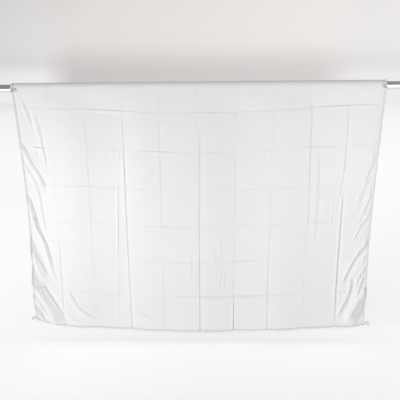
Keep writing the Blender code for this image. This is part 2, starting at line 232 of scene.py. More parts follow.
def crease_relief(x, z, line, reach, edge, height, banked=False):
    """Height of one crease. off is the distance from its smoothed line, positive towards the middle
    of the blanket. A swell 0.8 exp(-((off + reach) / (0.62 reach))^2) less a groove
    0.9 / (1 + (off / edge)^2)^1.2 is faded over both ends and, on the right half, turned over. A
    banked crease falls evenly from its swell to its groove instead."""
    marks = np.array(line)
    knots = np.concatenate([[0], np.cumsum(np.hypot(*np.diff(marks, axis=0).T))])
    stations = np.linspace(0, knots[-1], CREASE_STATIONS)
    path = np.stack([np.interp(stations, knots, marks[:, k]) for k in (0, 1)], axis=1)
    for _ in range(SMOOTHINGS):
        path[1:-1] = (path[:-2] + 2 * path[1:-1] + path[2:]) / 4
    near = ((x > path[:, 0].min() - CREASE_MARGIN) & (x < path[:, 0].max() + CREASE_MARGIN)
            & (z > path[:, 1].min() - CREASE_MARGIN) & (z < path[:, 1].max() + CREASE_MARGIN))
    relief = np.zeros(x.shape)
    px, pz = x[near], z[near]
    closest = np.full(px.shape, 9.0)
    off, place = np.zeros(px.shape), np.zeros(px.shape)
    middle_side = -np.sign(marks[:, 0].mean())
    for k in range(len(path) - 1):
        step = path[k + 1] - path[k]
        length = np.hypot(*step)
        share = np.clip(((px - path[k, 0]) * step[0] + (pz - path[k, 1]) * step[1]) / length ** 2, 0, 1)
        dx, dz = px - path[k, 0] - share * step[0], pz - path[k, 1] - share * step[1]
        distance = np.hypot(dx, dz)
        nearer = distance < closest
        turn_side = np.sign(step[0] * dz - step[1] * dx) * middle_side
        closest = np.where(nearer, distance, closest)
        off = np.where(nearer, turn_side * distance, off)
        place = np.where(nearer, (k + share) / (len(path) - 1), place)
    if banked:
        high, low = (1, 0.45) if middle_side > 0 else (0.45, 1)
        beyond = np.exp(-((off + reach) / (0.35 * reach)) ** 2)
        swell = np.where(off > -reach, np.clip(-off / reach, 0, 1), beyond)
        groove = np.where(off < 0, np.clip(1 + off / reach, 0, 1), 1 / (1 + (off / edge) ** 2) ** 1.2)
        swell, groove = high * swell, low * groove
    else:
        swell = 0.8 * np.exp(-((off + reach) / (0.62 * reach)) ** 2)
        groove = 0.9 / (1 + (off / edge) ** 2) ** 1.2
    ends = smooth_step(place / 0.12) * smooth_step((1 - place) / 0.25)
    relief[near] = middle_side * height * (swell - groove) * ends
    return relief


def drape(across, along, proud=0.0):
    """Place flat cloth points over the rail. across is counted from the middle of the cloth, along
    from its front hem, and proud outwards from the middle of its thickness. The front drop climbs to
    the rail, turns half round it and falls behind; width is lost towards the sides, and the creases
    and two long waves stand out of each drop."""
    across, along, proud = np.broadcast_arrays(across, along, proud)
    side = across / HALF_WIDTH
    path = FRONT_PATH - along
    front = path > 0
    turn = np.clip(path / BEND_RADIUS, -pi / 2, pi / 2)
    depth = np.maximum(np.abs(path) - BEND_PATH, 0)
    above_hem = FRONT_PATH - BEND_PATH - depth

    drawn_in, end_depth, lift, lift_from, corner_in = (
        np.where(side < 0, SIDES[-1][column], SIDES[+1][column]) for column in SIDES[-1])
    hollow = drawn_in * np.sin(pi * np.clip(depth / end_depth, 0, 1))
    hollow = hollow + np.where(front, corner_in * smooth_step(1 - above_hem / CORNER_HEIGHT), 0)
    x = across * (MIDDLE_SHARE - EDGE_LOSS * side ** 2) - np.sign(side) * side ** 6 * hollow

    rise = EDGE_RISE * np.sin(pi / 2 * np.abs(side)) ** 2 * smooth_step(depth / RISE_START)
    corner = np.clip((np.abs(side) - lift_from) / (1 - lift_from), 0, 1) ** 2
    lift = lift * corner * smooth_step(1 - above_hem / LIFT_HEIGHT)
    drop = HEM_DROP * smooth_step(1 - above_hem / POCKET_LENGTH)
    scallop = HEM_SCALLOP * (0.45 - np.abs(np.sin(pi * across / POCKET_WIDTH)) ** 0.8)
    scallop = scallop * smooth_step(1 - above_hem / SCALLOP_HEIGHT)
    rise = rise + np.where(front, lift - drop + scallop, 0)
    z = (BEND_RADIUS + proud) * np.cos(turn) - depth + rise

    relief = sum(wave["height"] * np.cos(2 * pi * (x - wave["crest"]) / wave["length"]) for wave in WAVES)
    on_front, on_back = (sum(crease_relief(x, z, *crease) for crease in CREASES[drop])
                         for drop in ("front", "back"))
    relief = (relief + np.where(front, on_front, on_back)) * smooth_step(
        (depth - RELIEF_START) / (RELIEF_FULL - RELIEF_START))
    y = -(BEND_RADIUS + proud) * np.sin(turn) - np.where(front, relief, -relief)
    return np.stack([MIDDLE_X + x, y, z], axis=-1)


def pocket_lines(size, steps):
    """Mesh lines over a row of pockets: close together beside each seam and one step apart between
    them, with an even number in every pocket."""
    rows = []
    for k, step in enumerate(steps):
        count = round((size / 2 - FIELD_START) / step)
        half = np.concatenate([BESIDE_SEAM, np.linspace(FIELD_START, size / 2, count + 1)])
        rows.append(k * size + np.concatenate([half, size - half[-2:0:-1]]))
    return np.concatenate(rows + [[len(steps) * size]])


def crown(place, size, depths, along_seam):
    """Share of the filling's height across a row of pockets. It is 1 in the middle of a pocket and falls
    beside each seam by depth * (1 - |sin(pi place / size)|^0.35), the depth read from its table."""
    nearest = np.rint(place / size)
    depth = np.full(place.shape, EVEN_DEPTH)
    for number, marks in depths.items():
        depth = np.where(nearest == number, np.interp(along_seam, *np.array(marks).T), depth)
    return 1 - depth * (1 - np.abs(np.sin(pi * place / size)) ** 0.35)


def quilt_half_thickness(across, along):
    """Half the cloth's thickness: thin on a seam, full in the middle of a pocket, and thin again at the
    binding's lip."""
    edge = np.minimum(HALF_WIDTH - np.abs(across), np.minimum(along, CUT_LENGTH - along))
    crown_across = crown(across + HALF_WIDTH, POCKET_WIDTH, COLUMN_DEPTHS, FRONT_PATH - along)
    crown_along = crown(along, POCKET_LENGTH, ROW_DEPTHS, across)
    filling = crown_across * crown_along * smooth_step((edge - BINDING_WIDTH) / LIP_SLOPE)
    return SEAM_HALF_THICKNESS + (POCKET_HALF_THICKNESS - SEAM_HALF_THICKNESS) * filling


def new_piece(name, points, faces, finish, flat=None):
    """A smooth object at the origin from an array of points and a list of faces, with a UV map in
    metres of flat cloth where flat gives one (u, v) for each point."""
    mesh = bpy.data.meshes.new(name)
    mesh.from_pydata(points.tolist(), [], faces)
    mesh.validate()
    mesh.shade_smooth()
    mesh.materials.append(finish)
    if flat is not None:
        corners = np.empty(len(mesh.loops), dtype=np.int32)
        mesh.loops.foreach_get("vertex_index", corners)
        mesh.uv_layers.new(name="flat").data.foreach_set("uv", flat[corners].astype(np.float32).ravel())
    piece = bpy.data.objects.new(name, mesh)
    bpy.context.scene.collection.objects.link(piece)
    return piece


def grid_faces(rows, columns, start=0, flip=False):
    """Four corner numbers for each cell of a rows x columns grid of points, counted from start."""
    corner = start + np.arange(rows - 1)[:, None] * columns + np.arange(columns - 1)
    cells = np.stack([corner, corner + 1, corner + columns + 1, corner + columns], axis=-1).reshape(-1, 4)
    return (cells[:, ::-1] if flip else cells).tolist()


def rim_of(rows, columns, start=0):
    """Point numbers once round the edge of a grid, from its first corner."""
    number = start + np.arange(rows * columns).reshape(rows, columns)
    return np.concatenate([number[0, :-1], number[:-1, -1], number[-1, :0:-1], number[:0:-1, 0]])


def quilt_shell(finish):
    """The outer layer is a fine grid and the inner layer takes every second line of it. Their rims
    are joined by three triangles for each inner step, inside the binding."""
    across = pocket_lines(POCKET_WIDTH, ACROSS_STEPS)
    across = np.clip(across, CLOTH_INSET, CUT_WIDTH - CLOTH_INSET) - HALF_WIDTH
    along = np.clip(pocket_lines(POCKET_LENGTH, ALONG_STEPS), CLOTH_INSET, CUT_LENGTH - CLOTH_INSET)
    u, v = np.meshgrid(across, along)
    outer = drape(u, v, quilt_half_thickness(u, v))
    u_in, v_in = u[::2, ::2], v[::2, ::2]
    inner = drape(u_in, v_in, -quilt_half_thickness(u_in, v_in))
    points = np.concatenate([outer.reshape(-1, 3), inner.reshape(-1, 3)])
    flat = np.concatenate([np.stack([u + HALF_WIDTH, v], axis=-1).reshape(-1, 2),
                           np.stack([u_in + HALF_WIDTH, v_in], axis=-1).reshape(-1, 2)])
    faces = grid_faces(*u.shape) + grid_faces(*u_in.shape, start=u.size, flip=True)
    fine, coarse = rim_of(*u.shape), rim_of(*u_in.shape, start=u.size)
    first, between, last = fine[0::2], fine[1::2], np.roll(fine[0::2], -1)
    this, following = coarse, np.roll(coarse, -1)
    faces += np.stack([between, first, this], axis=-1).tolist()
    faces += np.stack([between, this, following], axis=-1).tolist()
    faces += np.stack([between, following, last], axis=-1).tolist()
    return new_piece("quilted_cotton", points, faces, finish, flat)


class Thread:
    """One socket of a material that is being put together. An operator on threads and numbers adds
    its Math node, and node() adds any other."""

    def __init__(self, tree, socket=None):
        self.tree, self.socket = tree, socket

    def node(self, kind, settings=None, sockets=None, out=0):
        """Add a node: its settings first, a ramp's stops among them, then numbers, colours or
        threads for its sockets."""
        made = self.tree.nodes.new("ShaderNode" + kind)
        for name, value in (settings or {}).items():
            if name == "stops":
                stops = made.color_ramp.elements
                while len(stops) < len(value):
                    stops.new(1)
                for stop, (place, colour) in zip(stops, value):
                    stop.position, stop.color = place, colour
            else:
                setattr(made, name, value)
        for name, value in (sockets or {}).items():
            if isinstance(value, Thread):
                self.tree.links.new(value.socket, made.inputs[name])
            else:
                made.inputs[name].default_value = value
        return Thread(self.tree, made.outputs[out])

    def math(self, operation, *values):
        """A Math node on the given values, which don't include this thread unless it is one of them."""
        return self.node("Math", {"operation": operation}, dict(enumerate(values)))

    def __add__(self, other): return self.math("ADD", self, other)
    def __radd__(self, other): return self.math("ADD", other, self)
    def __sub__(self, other): return self.math("SUBTRACT", self, other)
    def __rsub__(self, other): return self.math("SUBTRACT", other, self)
    def __mul__(self, other): return self.math("MULTIPLY", self, other)
    def __rmul__(self, other): return self.math("MULTIPLY", other, self)
    def __truediv__(self, other): return self.math("DIVIDE", self, other)
    def __pow__(self, other): return self.math("POWER", self, other)

    def mix(self, colour_a, colour_b):
        """Colour a where this thread is 0 and colour b where it is 1."""
        return self.node("Mix", {"data_type": "RGBA"}, {0: self, 6: colour_a, 7: colour_b}, out=2)

    def stretched(self, *scale):
        """This coordinate times a scale along each axis."""
        return self.node("Mapping", sockets={"Vector": self, "Scale": scale})

    def noise(self, scale, detail=2.0, roughness=0.5):
        return self.node("TexNoise", sockets={"Vector": self, "Scale": scale, "Detail": detail,
                                              "Roughness": roughness})


def new_finish(name, **fixed):
    """A material with fixed values on its shader's sockets, and the thread and shader to work on."""
    finish = bpy.data.materials.new(name)
    finish.use_nodes = True
    shader = finish.node_tree.nodes["Principled BSDF"]
    for socket, value in fixed.items():
        shader.inputs[socket.replace("_", " ")].default_value = value
    return finish, Thread(finish.node_tree), shader


def feed(thread, shader, **threads):
    """Link threads to the shader's sockets."""
    for socket, value in threads.items():
        thread.tree.links.new(value.socket, shader.inputs[socket.replace("_", " ")])


def fine_wrinkle(flat, start, end, height):
    """Height of one fine wrinkle. off is the distance on the left of its line: the height climbs while
    off goes from -edge to 0, falls back evenly over reach, and fades towards both ends."""
    line = np.subtract(end, start)
    length = np.hypot(*line)
    place = flat.node("VectorMath", {"operation": "SUBTRACT"}, {0: flat, 1: (*start, 0)})
    off, share = (place.node("VectorMath", {"operation": "DOT_PRODUCT"}, {0: place, 1: (*axis, 0)}, out=1)
                  for axis in (np.array([-line[1], line[0]]) / length, line / length ** 2))
    rise = place.math("MINIMUM", off / WRINKLE_EDGE + 1, 1 - off / WRINKLE_REACH)
    fade = place.math("MAXIMUM", share * (1 - share) * 4, 0) ** 0.7
    return place.math("MAXIMUM", rise, 0) * fade * height


def satin_cotton():
    """Satin cotton: fine threads both ways, puckers that cross each seam and die out beside it, soft
    rumples over the pockets, faint slanting drag lines near the sides, the fine wrinkles of the table,
    a slight unevenness of tone, and painted shade that darkens the seam gutters here and there."""
    finish, start, shader = new_finish("satin_cotton", IOR=1.46, Sheen_Weight=0.18, Sheen_Roughness=0.4)
    flat = start.node("TexCoord", out=2)
    u = flat.node("SeparateXYZ", sockets={0: flat}, out=0)
    v = flat.node("SeparateXYZ", sockets={0: flat}, out=1)
    beside_column = 1 - u.math("MINIMUM", u.math("PINGPONG", u, POCKET_WIDTH / 2) / PUCKER_REACH, 1)
    beside_row = 1 - v.math("MINIMUM", v.math("PINGPONG", v, POCKET_LENGTH / 2) / PUCKER_REACH, 1)

    column_pucker = flat.stretched(30, 260, 1).noise(1.0, 1.0) * beside_column
    row_pucker = flat.stretched(260, 30, 1).noise(1.0, 1.0) * beside_row
    rumple = flat.noise(18.0, 1.5, 0.4)
    from_side = u.math("PINGPONG", u, CUT_WIDTH / 2)
    slanted = u.node("CombineXYZ", sockets={0: from_side * 78 + v * 25, 1: v * 9})
    beside_edge = (1 - u.math("MINIMUM", from_side / DRAG_REACH, 1)) * (1.1 - u.math("MINIMUM", v, 1))
    drag = u.math("ABSOLUTE", slanted.noise(1.0, 2.0) - 0.5) * beside_edge
    threads = (u.math("SINE", u * 5200) + v.math("SINE", v * 4600)) * 0.25
    height = (column_pucker + row_pucker) * 0.0009 + rumple * 0.0016 + drag * 0.0140 + threads * 0.00003
    for wrinkle in FINE_WRINKLES:
        height = height + fine_wrinkle(flat, *wrinkle)
    relief = start.node("Bump", sockets={"Height": height, "Strength": 0.8, "Distance": 1.0})

    tone = flat.noise(5.0, 3.0)
    # Painted shade: the cloth is darkened towards the seam gutters, in patches
    seam_shade_patches = u.math("MAXIMUM", flat.noise(9.0, 1.0) - 0.35, 0)
    seam_shade = u.math("MAXIMUM", beside_column, beside_row) ** 6 * seam_shade_patches
    cloth = (tone * 0.5).mix(QUILT_COLOUR, FADED_COLOUR)
    cloth = (seam_shade * 0.60).mix(cloth, SEAM_SHADE_COLOUR)
    roughness = 0.40 + flat.noise(60.0, 2.0) * 0.10
    feed(start, shader, Base_Color=cloth, Roughness=roughness, Normal=relief)
    return finish


quilt = quilt_shell(satin_cotton())
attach(quilt, "root")
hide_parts("quilted_cloth")

# Seam stitching. Every seam is one row of plain lockstitch in cotton thread a little darker than the
# cloth. It lies in the gutter and holds the two layers together.

STITCH_PITCH, STITCH_LENGTH, THREAD_RADIUS = 0.0038, 0.0031, 0.00032
SEAM_MARGIN = 0.014
THREAD_COLOUR, WORN_THREAD_COLOUR = (0.62, 0.595, 0.60, 1), (0.74, 0.715, 0.72, 1)


def stitch_row(fixed, stations, runs_along):
    """Stitches on one seam: each is a spindle with a pointed end half a stitch either side of its
    station and a square waist between, set into the gutter on the outer face."""

    def seam_points(shift, lift):
        line = stations + shift
        level = np.full_like(line, fixed)
        u, v = (level, line) if runs_along else (line, level)
        return drape(u, v, SEAM_HALF_THICKNESS + lift)

    first, last = seam_points(-STITCH_LENGTH / 2, 0), seam_points(STITCH_LENGTH / 2, 0)
    under, over = seam_points(0, 0), seam_points(0, 2 * THREAD_RADIUS)
    outward = (over - under) / np.linalg.norm(over - under, axis=-1, keepdims=True)
    forward = (last - first) / np.linalg.norm(last - first, axis=-1, keepdims=True)
    sideways = np.cross(forward, outward) * THREAD_RADIUS
    waist = (under + over) / 2
    return np.stack([first, waist + sideways, over, waist - sideways, under, last], axis=1)


def seam_stitching(finish):
    """All the seams' stitches on the outer face, the one that shows, as one mesh of eight-sided
    spindles."""
    along = np.arange(SEAM_MARGIN, CUT_LENGTH - SEAM_MARGIN, STITCH_PITCH)
    across = np.arange(SEAM_MARGIN - HALF_WIDTH, HALF_WIDTH - SEAM_MARGIN, STITCH_PITCH)
    rows = [stitch_row(k * POCKET_WIDTH - HALF_WIDTH, along, True) for k in range(1, COLUMNS)]
    rows += [stitch_row(k * POCKET_LENGTH, across, False) for k in range(1, ROWS)]
    points = np.concatenate(rows)
    spindle = np.array([(0, 2, 1), (0, 3, 2), (0, 4, 3), (0, 1, 4),
                        (5, 1, 2), (5, 2, 3), (5, 3, 4), (5, 4, 1)])
    faces = (np.arange(len(points))[:, None, None] * 6 + spindle).reshape(-1, 3)
    return new_piece("seam_stitching", points.reshape(-1, 3), faces.tolist(), finish)


def cotton_thread():
    """Matt cotton thread, uneven in tone from stitch to stitch."""
    finish, start, shader = new_finish("cotton_thread", Sheen_Weight=0.2)
    place = start.node("TexCoord", out=3)
    tone = place.noise(300.0, 1.0).mix(THREAD_COLOUR, WORN_THREAD_COLOUR)
    feed(start, shader, Base_Color=tone, Roughness=0.65 + place.noise(900.0) * 0.2,
         Normal=start.node("Bump", sockets={"Height": place.noise(2600.0), "Distance": 0.0001}))
    return finish


stitching = seam_stitching(cotton_thread())
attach(stitching, "root")

# Edge bindings. Narrow strips of a closer, matt cotton are folded over the raw edges and sewn through.
# The side strips run the full length of the cloth, and the hem strips fit between them.

BINDING_HALF_THICKNESS, BINDING_CLOTH, BINDING_NOSE = 0.0023, 0.0006, 0.0022
STRIP_WIDTH, HEM_STATIONS = 0.0225, 421
# The binding's greys are painted darker than the cloth, as shade along the turned edges
SHADED_BINDING_COLOUR, PRESSED_AND_SHADED_COLOUR = (0.66, 0.643, 0.647, 1), (0.74, 0.720, 0.725, 1)


def binding_profile():
    """Closed outline of the folded strip, as (inward from the fold, proud): a round nose, two flat
    leaves with rounded lips, and the same again one cloth thickness further in."""
    front = [(BINDING_NOSE - BINDING_NOSE * np.sin(pi / 2 - a), BINDING_HALF_THICKNESS * np.sin(a))
             for a in np.linspace(pi / 2, 0, 6)]
    lip = ((0, .0007), (.0003, .0002), (.0012, 0), (.0026, .0003))
    leaf = [(BINDING_WIDTH - back, BINDING_HALF_THICKNESS - under) for back, under in lip]
    leaf.append((BINDING_WIDTH * 0.5, BINDING_HALF_THICKNESS))
    outer = leaf + front + [(s, -p) for s, p in front[-2::-1]] + [(s, -p) for s, p in leaf[::-1]]
    inner = [(max(s, BINDING_CLOTH) if s < BINDING_NOSE else s, p - np.sign(p) * BINDING_CLOTH)
             for s, p in (leaf[3:] + front)]
    inner = [(BINDING_WIDTH, BINDING_HALF_THICKNESS - BINDING_CLOTH - .0002)] + inner
    inner = inner + [(s, -p) for s, p in inner[-2::-1]]
    return np.array(outer + inner[::-1])


def ring_faces(rows, columns):
    """Four corner numbers for each cell of a tube made of rows rings with columns points each."""
    loop = np.concatenate([np.arange(columns), [0]])
    ring = np.arange(rows - 1)[:, None] * columns
    return np.stack([ring + loop[:-1], ring + loop[1:], ring + columns + loop[1:],
                     ring + columns + loop[:-1]], axis=-1).reshape(-1, 4)


def closed_tube(rows, columns):
    """A tube's cells and one flat face over each end."""
    first_ring = np.arange(columns)
    return ring_faces(rows, columns).tolist() + [first_ring[::-1].tolist(),
                                                 (first_ring + (rows - 1) * columns).tolist()]


def folded_strip(name, path, edge_at, finish):
    """Carry the profile along path. edge_at(path, inward) gives the flat place (across, along) of each
    point, and the strip waves gently in and out where it was eased on."""
    profile = binding_profile()
    s, proud = profile[:, 0], profile[:, 1]
    ease = 0.0005 * np.sin(path * 290) + 0.0004 * np.sin(path * 613 + 1.3)
    swell = 1 + 0.10 * np.sin(path * 440 + 0.7) + 0.08 * np.sin(path * 173)
    inward = s[None, :] + ease[:, None] * (s < BINDING_NOSE)[None, :]
    u, v = edge_at(path[:, None], inward)
    points = drape(u, v, proud[None, :] * swell[:, None])
    round_section = np.concatenate([[0], np.cumsum(np.hypot(*np.diff(profile, axis=0).T))])
    flat = np.stack(np.broadcast_arrays(round_section[None, :], path[:, None]), axis=-1).reshape(-1, 2)
    return new_piece(name, points.reshape(-1, 3), closed_tube(*points.shape[:2]), finish, flat)


def binding_cotton():
    """Closely woven matt cotton: ribs across the strip, puckers where it was eased on, and a slightly
    uneven tone where it was pressed. The whole strip is painted darker than the cloth, as painted shade
    along the edges."""
    finish, start, shader = new_finish("binding_cotton", Sheen_Weight=0.2, Sheen_Roughness=0.5)
    flat = start.node("TexCoord", out=2)
    along = flat.node("SeparateXYZ", sockets={0: flat}, out=1)
    ribs = along.math("SINE", along * 5600) * 0.5
    pucker = flat.stretched(60, 320, 1).noise(1.0, 2.0)
    place = start.node("TexCoord", out=3)
    tone = place.noise(40.0, 3.0).mix(SHADED_BINDING_COLOUR, PRESSED_AND_SHADED_COLOUR)
    feed(start, shader, Base_Color=tone, Roughness=0.55 + place.noise(200.0) * 0.15,
         Normal=start.node("Bump", sockets={"Height": pucker * 0.0012 + ribs * 0.00006, "Distance": 1.0}))
    return finish


binding_finish = binding_cotton()
long_path = np.unique(np.concatenate([
    np.arange(0, FRONT_PATH - .05, .005), np.arange(FRONT_PATH - .05, FRONT_PATH + .05, .003),
    np.arange(FRONT_PATH + .05, CUT_LENGTH, .009), [CUT_LENGTH]]))
short_path = np.linspace(BINDING_WIDTH - HALF_WIDTH, HALF_WIDTH - BINDING_WIDTH, HEM_STATIONS)
BINDINGS = [
    # name, node, path, flat place of a point that lies in from the fold
    ("side_binding_left", "binding_left", long_path[::-1], lambda path, inward: (inward - HALF_WIDTH, path)),
    ("side_binding_right", "binding_right", long_path, lambda path, inward: (HALF_WIDTH - inward, path)),
    ("hem_binding_front", "binding_front_hem", short_path, lambda path, inward: (path, inward)),
    ("hem_binding_back", "binding_back_hem", short_path[::-1],
     lambda path, inward: (path, CUT_LENGTH - inward)),
]
for name, node, path, edge_at in BINDINGS:
    strip = folded_strip(name, path, edge_at, binding_finish)
    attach(strip, "root")
    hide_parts(node)

# Tape loops. Short lengths of narrow cotton tape, each bent into a drop with both ends sewn into the
# binding: one at each corner, and one at the middle of each long side, which flops over the front.

TAPE_HALF_THICKNESS, TAPE_WIDTH = 0.0009, 0.0062
LOOP_LENGTH, LOOP_WIDTH, LOOP_GAP = 0.022, 0.015, 0.0008
LOOP_CLEARANCE, RAIL_RADIUS = 0.0003, 0.016
ARC_STATIONS, LEG_STATIONS, TAPE_SIDES = 37, 9, 20
TAPE_COLOUR, RUBBED_COLOUR = (0.74, 0.722, 0.725, 1), (0.80, 0.78, 0.78, 1)


def tape_loop(name, node, root, turn, finish):
    """The tape's centre line runs from the root round a circle and back, and a flat round-edged
    section is carried along it. turn is the angle in degrees from +X towards +Z that it points in."""
    radius = LOOP_WIDTH / 2 - TAPE_HALF_THICKNESS
    centre = LOOP_LENGTH - TAPE_HALF_THICKNESS - radius
    lean = np.arccos(radius / centre)
    arc = np.linspace(lean - pi, pi - lean, ARC_STATIONS)
    ring = np.stack([centre + radius * np.cos(arc), radius * np.sin(arc)], axis=1)
    start = np.linspace((-0.0004, -TAPE_HALF_THICKNESS * 1.05), ring[0], LEG_STATIONS)[:-1]
    line = np.concatenate([start, ring, (start * (1, -1))[::-1]])
    ahead = np.gradient(line, axis=0)
    ahead /= np.linalg.norm(ahead, axis=1, keepdims=True)
    side = np.stack([-ahead[:, 1], ahead[:, 0]], axis=1)
    around = np.linspace(0, 2 * pi, TAPE_SIDES, endpoint=False)
    thick = TAPE_HALF_THICKNESS * np.sign(np.sin(around)) * np.abs(np.sin(around)) ** 0.6
    wide = TAPE_WIDTH / 2 * np.sign(np.cos(around)) * np.abs(np.cos(around)) ** 0.35
    flare = 1 + 0.05 * np.sin(np.linspace(0, 5 * pi, len(line)))
    plane = line[:, None, :] + side[:, None, :] * thick[None, :, None]
    depth = wide[None, :] * flare[:, None]
    c, s = np.cos(radians(turn)), np.sin(radians(turn))
    points = np.stack([root[0] + plane[..., 0] * c - plane[..., 1] * s, root[1] + depth,
                       root[2] + plane[..., 0] * s + plane[..., 1] * c], axis=-1)
    length = np.concatenate([[0], np.cumsum(np.linalg.norm(np.diff(line, axis=0), axis=1))])
    flat = np.stack(np.broadcast_arrays(wide[None, :], length[:, None]), axis=-1).reshape(-1, 2)
    piece = new_piece(name, points.reshape(-1, 3), closed_tube(*points.shape[:2]), finish, flat)
    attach(piece, "root")
    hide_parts(node)
    return piece


def ribbed_tape():
    """Narrow cotton tape with fine ribs across it and a fuzzy, uneven tone."""
    finish, start, shader = new_finish("ribbed_tape", Sheen_Weight=0.3, Sheen_Roughness=0.5)
    flat = start.node("TexCoord", out=2)
    along = flat.node("SeparateXYZ", sockets={0: flat}, out=1)
    ribs = along.math("SINE", along * 7200)
    place = start.node("TexCoord", out=3)
    tone = place.noise(500.0, 3.0).mix(TAPE_COLOUR, RUBBED_COLOUR)
    feed(start, shader, Base_Color=tone, Roughness=0.62 + place.noise(700.0) * 0.15,
         Normal=start.node("Bump", sockets={"Height": ribs * 0.00012 + place.noise(1500.0) * 0.0003,
                                            "Distance": 1.0}))
    return finish


tape_finish = ribbed_tape()
for side, hand, front_turn, back_turn in ((-1, "left", 178, -82), (1, "right", -4, -98)):
    root = drape(np.array(side * HALF_WIDTH), np.array(BINDING_WIDTH)) + (side * LOOP_GAP, 0, 0)
    tape_loop(f"tape_loop_front_{hand}", f"loop_front_{hand}", root, front_turn, tape_finish)
    root = drape(np.array(side * (HALF_WIDTH - BINDING_WIDTH / 2)), np.array(CUT_LENGTH)) - (0, 0, LOOP_GAP)
    tape_loop(f"tape_loop_back_{hand}", f"loop_back_{hand}", root, back_turn, tape_finish)
stand_off = BEND_RADIUS + POCKET_HALF_THICKNESS + LOOP_CLEARANCE + TAPE_WIDTH / 2
for side, hand, turn in ((-1, "left", 24), (1, "right", 150)):
    level = drape(np.array(side * HALF_WIDTH), np.array(FRONT_PATH - BEND_PATH))
    root = (level[0], -stand_off, -RAIL_RADIUS * 2 / 3)
    tape_loop(f"tape_loop_middle_{hand}", f"loop_middle_{hand}", root, turn, tape_finish)

# Rail. A drawn steel tube, chrome plated and polished, with its ends closed and their edges rounded.
# It is held level at its ends, and the blanket lies over its top.

RAIL_LENGTH, RAIL_ROUND = 1.80, 0.001
BARREL_STATIONS, RAIL_SIDES = 61, 160
CHROME_COLOUR, SMEAR_COLOUR = (0.80, 0.80, 0.81, 1), (0.70, 0.70, 0.72, 1)


def rail_tube(finish):
    """Surface of revolution about X: a straight barrel, rounded edges, and end faces with a shallow
    ring where each cap is pressed in. The radius is given for a row of stations along it."""
    cap = [(0.0006, 0.0), (0.0006, 0.0122), (0.0002, 0.0128), (0.0, 0.0134)]
    edge = [(RAIL_ROUND - RAIL_ROUND * np.cos(a), RAIL_RADIUS - RAIL_ROUND + RAIL_ROUND * np.sin(a))
            for a in np.linspace(0, pi / 2, 6)]
    barrel = [(x, RAIL_RADIUS) for x in np.linspace(0.004, RAIL_LENGTH - 0.004, BARREL_STATIONS)]
    left = cap + edge
    profile = np.array(left + barrel + [(RAIL_LENGTH - x, r) for x, r in left[::-1]])
    turn = np.linspace(0, 2 * pi, RAIL_SIDES, endpoint=False)
    ring = np.stack([np.broadcast_to(profile[1:-1, :1], (len(profile) - 2, len(turn))),
                     profile[1:-1, 1:] * np.cos(turn), profile[1:-1, 1:] * np.sin(turn)], axis=-1)
    points = np.concatenate([ring.reshape(-1, 3), [(profile[0, 0], 0, 0), (profile[-1, 0], 0, 0)]])
    rows, columns = ring.shape[:2]
    faces = ring_faces(rows, columns)[:, [0, 3, 2, 1]].tolist()
    first, last = rows * columns, rows * columns + 1
    this = np.arange(columns)
    following = np.roll(this, -1)
    far = (rows - 1) * columns
    faces += np.stack([np.full(columns, first), this, following], axis=-1).tolist()
    faces += np.stack([np.full(columns, last), far + following, far + this], axis=-1).tolist()
    return new_piece("rail_tube", points, faces, finish)


def polished_chrome():
    """Chrome plate: polishing lines round the tube, a few faint smears, and no even gloss."""
    finish, start, shader = new_finish("polished_chrome", Metallic=1.0, Coat_Weight=0.0)
    place = start.node("TexCoord", out=3)
    lines = place.stretched(900, 8, 8).noise(1.0, 2.0)
    smear = place.stretched(6, 40, 40).noise(1.0, 3.0)
    tone = smear.mix(CHROME_COLOUR, SMEAR_COLOUR)
    feed(start, shader, Base_Color=tone, Roughness=0.10 + smear * 0.08,
         Normal=start.node("Bump", sockets={"Height": lines * 0.000003, "Strength": 0.5, "Distance": 1.0}))
    return finish


rail = rail_tube(polished_chrome())
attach(rail, "root")
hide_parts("rail")

# Room, lights and camera. A plain pale floor whose painted glow greys with distance and dims in a
# painted shadow under the blanket, in a soft grey-white room with a shaded patch behind the rail. Two
# broad suns light the blanket from in front, with a soft box before each of its sides, and the camera
# stands just below the rail and looks down over its drop.

FLOOR_LEVEL, FLOOR_REACH, FAR_HALF = -1.09, 400, 30
NEAR_FLOOR_COLOUR, FAR_FLOOR_COLOUR = (0.85, 0.85, 0.85, 1), (0.62, 0.618, 0.615, 1)
WARM_TINT, WARMER_TINT, NEUTRAL_TINT = (1, 0.979, 0.971), (1, 0.965, 0.954), (1, 0.998, 1.002)
FLOOR_GLOW = [(0, .428), (.020, .450), (.042, .553), (.060, .575), (.125, .570), (.190, .580), (.290, .560),
              (.490, .550), (.790, .490), (1, .480)]
SHADED_ROOM = [(.045, .624), (.068, .648), (.083, .685), (.104, .768), (.120, .800), (.145, .807),
               (.200, .797), (.750, .380)]
OPEN_ROOM = [(.015, .870), (.050, .852), (.059, .806), (.072, .757), (.083, .757), (.094, .789),
             (.115, .803), (.145, .805), (.200, .790), (.750, .380)]
FRONT_ROOM = [(0, .200), (.300, .280), (.750, .340), (1, .360)]
# How much brighter each gets towards the right
FLOOR_SLOPE, SHADED_SLOPE, ROOM_SLOPE = 0.12, 0.13, 0.11


def grey_ramp(value, stops, tint=WARM_TINT):
    """A ramp of greys with a slight tint, given as (place, grey) stops."""
    return value.node("ValToRGB", {"stops": [(place, (*(grey * share for share in tint), 1))
                                             for place, grey in stops]}, {0: value})


def spread_over(value, start, end, low, high, curve="SMOOTHSTEP"):
    """Go from low to high while value goes from start to end, and stay level outside."""
    return value.node("MapRange", {"interpolation_type": curve},
                      {0: value, 1: start, 2: end, 3: low, 4: high})


def dimmed(colour, share):
    """A colour times a number."""
    return colour.node("VectorMath", {"operation": "SCALE"}, {0: colour, "Scale": share})


